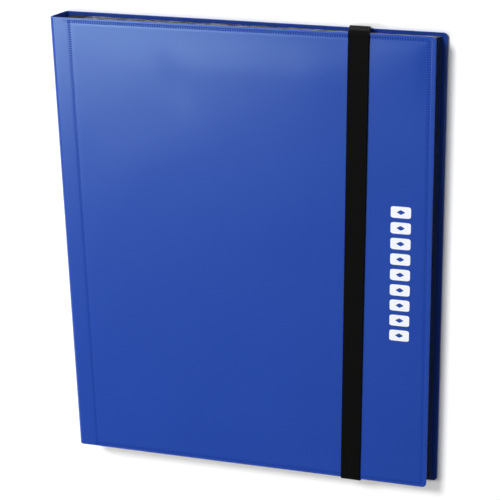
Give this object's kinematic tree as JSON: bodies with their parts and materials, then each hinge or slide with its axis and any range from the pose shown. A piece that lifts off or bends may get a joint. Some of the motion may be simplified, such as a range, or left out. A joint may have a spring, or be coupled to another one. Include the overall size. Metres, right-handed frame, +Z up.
{
  "type": "trading card binder",
  "caption": "Closed portfolio for collector cards: soft folding covers, a bound stack of side-loading pocket pages and an elastic closing strap.",
  "frame": {"origin": "on the table under the middle of the closed binder's box", "axes": "+X from the spine to the fore-edge, +Y up the page from tail to head, +Z up out of the front cover"},
  "size_m": [0.2572, 0.3148, 0.0188],
  "materials": {
    "cover_skin": "satin blue polypropylene with a fine grain",
    "cover_lining": "smooth blue polypropylene",
    "board": "dense grey board",
    "page_sheet": "black polypropylene sheet",
    "pocket_film": "clear glossy film",
    "elastic": "ribbed black woven elastic"
  },
  "bodies": {
    "back_cover": {"back_skin": "cover_skin", "back_board": "board", "back_lining": "cover_lining", "strap_end_head": "elastic", "strap_end_tail": "elastic"},
    "spine": {"spine_skin": "cover_skin", "spine_board": "board", "spine_lining": "cover_lining", "back_fold": "cover_skin", "front_fold": "cover_skin", "binding_block": "page_sheet", "leaf_roots": "page_sheet"},
    "front_cover": {"front_skin": "cover_skin", "front_board": "board", "front_lining": "cover_lining"},
    "strap": {"strap": "elastic"},
    "leaf_01": {"leaf_01_sheet": "page_sheet", "leaf_01_pockets": "pocket_film"},
    "leaf_02": {"leaf_02_sheet": "page_sheet", "leaf_02_pockets": "pocket_film"},
    "leaf_03": {"leaf_03_sheet": "page_sheet", "leaf_03_pockets": "pocket_film"},
    "leaf_04": {"leaf_04_sheet": "page_sheet", "leaf_04_pockets": "pocket_film"},
    "leaf_05": {"leaf_05_sheet": "page_sheet", "leaf_05_pockets": "pocket_film"},
    "leaf_06": {"leaf_06_sheet": "page_sheet", "leaf_06_pockets": "pocket_film"},
    "leaf_07": {"leaf_07_sheet": "page_sheet", "leaf_07_pockets": "pocket_film"},
    "leaf_08": {"leaf_08_sheet": "page_sheet", "leaf_08_pockets": "pocket_film"},
    "leaf_09": {"leaf_09_sheet": "page_sheet", "leaf_09_pockets": "pocket_film"},
    "leaf_10": {"leaf_10_sheet": "page_sheet", "leaf_10_pockets": "pocket_film"},
    "leaf_11": {"leaf_11_sheet": "page_sheet", "leaf_11_pockets": "pocket_film"},
    "leaf_12": {"leaf_12_sheet": "page_sheet", "leaf_12_pockets": "pocket_film"},
    "leaf_13": {"leaf_13_sheet": "page_sheet", "leaf_13_pockets": "pocket_film"},
    "leaf_14": {"leaf_14_sheet": "page_sheet", "leaf_14_pockets": "pocket_film"},
    "leaf_15": {"leaf_15_sheet": "page_sheet", "leaf_15_pockets": "pocket_film"},
    "leaf_16": {"leaf_16_sheet": "page_sheet", "leaf_16_pockets": "pocket_film"},
    "leaf_17": {"leaf_17_sheet": "page_sheet", "leaf_17_pockets": "pocket_film"},
    "leaf_18": {"leaf_18_sheet": "page_sheet", "leaf_18_pockets": "pocket_film"},
    "leaf_19": {"leaf_19_sheet": "page_sheet", "leaf_19_pockets": "pocket_film"},
    "leaf_20": {"leaf_20_sheet": "page_sheet", "leaf_20_pockets": "pocket_film"}
  },
  "joints": [
    {"name": "spine_fold", "type": "hinge", "parent": "back_cover", "child": "spine", "pos_m": [-0.12295, 0, 0.0006], "axis": [0, -1, 0], "range_deg": [0, 74.14]},
    {"name": "front_cover_fold", "type": "hinge", "parent": "spine", "child": "front_cover", "pos_m": [-0.12795, 0, 0.0182], "axis": [0, -1, 0], "range_deg": [0, 107.45]},
    {"name": "strap_release", "type": "hinge", "parent": "back_cover", "child": "strap", "pos_m": [0.07364, 0, 0.0006], "axis": [0, 1, 0], "range_deg": [0, 180], "deforming": ["strap"]},
    {"name": "leaf_01_turn", "type": "hinge", "parent": "spine", "child": "leaf_01", "pos_m": [-0.11726, 0, 0.00253], "axis": [0, -1, 0], "range_deg": [-75.16, 0]},
    {"name": "leaf_02_turn", "type": "hinge", "parent": "spine", "child": "leaf_02", "pos_m": [-0.11699, 0, 0.00342], "axis": [0, -1, 0], "range_deg": [-75.06, 0]},
    {"name": "leaf_03_turn", "type": "hinge", "parent": "spine", "child": "leaf_03", "pos_m": [-0.11673, 0, 0.00432], "axis": [0, -1, 0], "range_deg": [-74.95, 0]},
    {"name": "leaf_04_turn", "type": "hinge", "parent": "spine", "child": "leaf_04", "pos_m": [-0.11646, 0, 0.00522], "axis": [0, -1, 0], "range_deg": [-74.85, 0]},
    {"name": "leaf_05_turn", "type": "hinge", "parent": "spine", "child": "leaf_05", "pos_m": [-0.1162, 0, 0.00611], "axis": [0, -1, 0], "range_deg": [-74.75, 0]},
    {"name": "leaf_06_turn", "type": "hinge", "parent": "spine", "child": "leaf_06", "pos_m": [-0.11593, 0, 0.00701], "axis": [0, -1, 0], "range_deg": [-74.64, 0]},
    {"name": "leaf_07_turn", "type": "hinge", "parent": "spine", "child": "leaf_07", "pos_m": [-0.11567, 0, 0.0079], "axis": [0, -1, 0], "range_deg": [-74.54, 0]},
    {"name": "leaf_08_turn", "type": "hinge", "parent": "spine", "child": "leaf_08", "pos_m": [-0.1154, 0, 0.0088], "axis": [0, -1, 0], "range_deg": [-74.43, 0]},
    {"name": "leaf_09_turn", "type": "hinge", "parent": "spine", "child": "leaf_09", "pos_m": [-0.11514, 0, 0.0097], "axis": [0, -1, 0], "range_deg": [-74.33, 0]},
    {"name": "leaf_10_turn", "type": "hinge", "parent": "spine", "child": "leaf_10", "pos_m": [-0.11487, 0, 0.01059], "axis": [0, -1, 0], "range_deg": [-74.22, 0]},
    {"name": "leaf_11_turn", "type": "hinge", "parent": "spine", "child": "leaf_11", "pos_m": [-0.11509, 0, 0.01135], "axis": [0, -1, 0], "range_deg": [0, 108.38]},
    {"name": "leaf_12_turn", "type": "hinge", "parent": "spine", "child": "leaf_12", "pos_m": [-0.11579, 0, 0.01198], "axis": [0, -1, 0], "range_deg": [0, 108.41]},
    {"name": "leaf_13_turn", "type": "hinge", "parent": "spine", "child": "leaf_13", "pos_m": [-0.11648, 0, 0.0126], "axis": [0, -1, 0], "range_deg": [0, 108.45]},
    {"name": "leaf_14_turn", "type": "hinge", "parent": "spine", "child": "leaf_14", "pos_m": [-0.11718, 0, 0.01322], "axis": [0, -1, 0], "range_deg": [0, 108.48]},
    {"name": "leaf_15_turn", "type": "hinge", "parent": "spine", "child": "leaf_15", "pos_m": [-0.11788, 0, 0.01384], "axis": [0, -1, 0], "range_deg": [0, 108.51]},
    {"name": "leaf_16_turn", "type": "hinge", "parent": "spine", "child": "leaf_16", "pos_m": [-0.11857, 0, 0.01447], "axis": [0, -1, 0], "range_deg": [0, 108.55]},
    {"name": "leaf_17_turn", "type": "hinge", "parent": "spine", "child": "leaf_17", "pos_m": [-0.11927, 0, 0.01509], "axis": [0, -1, 0], "range_deg": [0, 108.58]},
    {"name": "leaf_18_turn", "type": "hinge", "parent": "spine", "child": "leaf_18", "pos_m": [-0.11997, 0, 0.01571], "axis": [0, -1, 0], "range_deg": [0, 108.61]},
    {"name": "leaf_19_turn", "type": "hinge", "parent": "spine", "child": "leaf_19", "pos_m": [-0.12066, 0, 0.01633], "axis": [0, -1, 0], "range_deg": [0, 108.64]},
    {"name": "leaf_20_turn", "type": "hinge", "parent": "spine", "child": "leaf_20", "pos_m": [-0.12136, 0, 0.01696], "axis": [0, -1, 0], "range_deg": [0, 108.67]}
  ],
  "couplings": [
    {"joint": "leaf_01_turn", "follows": "spine_fold", "ratio": -1.013},
    {"joint": "leaf_02_turn", "follows": "spine_fold", "ratio": -1.0116},
    {"joint": "leaf_03_turn", "follows": "spine_fold", "ratio": -1.0102},
    {"joint": "leaf_04_turn", "follows": "spine_fold", "ratio": -1.0088},
    {"joint": "leaf_05_turn", "follows": "spine_fold", "ratio": -1.0074},
    {"joint": "leaf_06_turn", "follows": "spine_fold", "ratio": -1.006},
    {"joint": "leaf_07_turn", "follows": "spine_fold", "ratio": -1.0046},
    {"joint": "leaf_08_turn", "follows": "spine_fold", "ratio": -1.0032},
    {"joint": "leaf_09_turn", "follows": "spine_fold", "ratio": -1.0018},
    {"joint": "leaf_10_turn", "follows": "spine_fold", "ratio": -1.0004},
    {"joint": "leaf_11_turn", "follows": "front_cover_fold", "ratio": 1.0081},
    {"joint": "leaf_12_turn", "follows": "front_cover_fold", "ratio": 1.0084},
    {"joint": "leaf_13_turn", "follows": "front_cover_fold", "ratio": 1.0088},
    {"joint": "leaf_14_turn", "follows": "front_cover_fold", "ratio": 1.0091},
    {"joint": "leaf_15_turn", "follows": "front_cover_fold", "ratio": 1.0094},
    {"joint": "leaf_16_turn", "follows": "front_cover_fold", "ratio": 1.0097},
    {"joint": "leaf_17_turn", "follows": "front_cover_fold", "ratio": 1.01},
    {"joint": "leaf_18_turn", "follows": "front_cover_fold", "ratio": 1.0103},
    {"joint": "leaf_19_turn", "follows": "front_cover_fold", "ratio": 1.0106},
    {"joint": "leaf_20_turn", "follows": "front_cover_fold", "ratio": 1.0109}
  ]
}
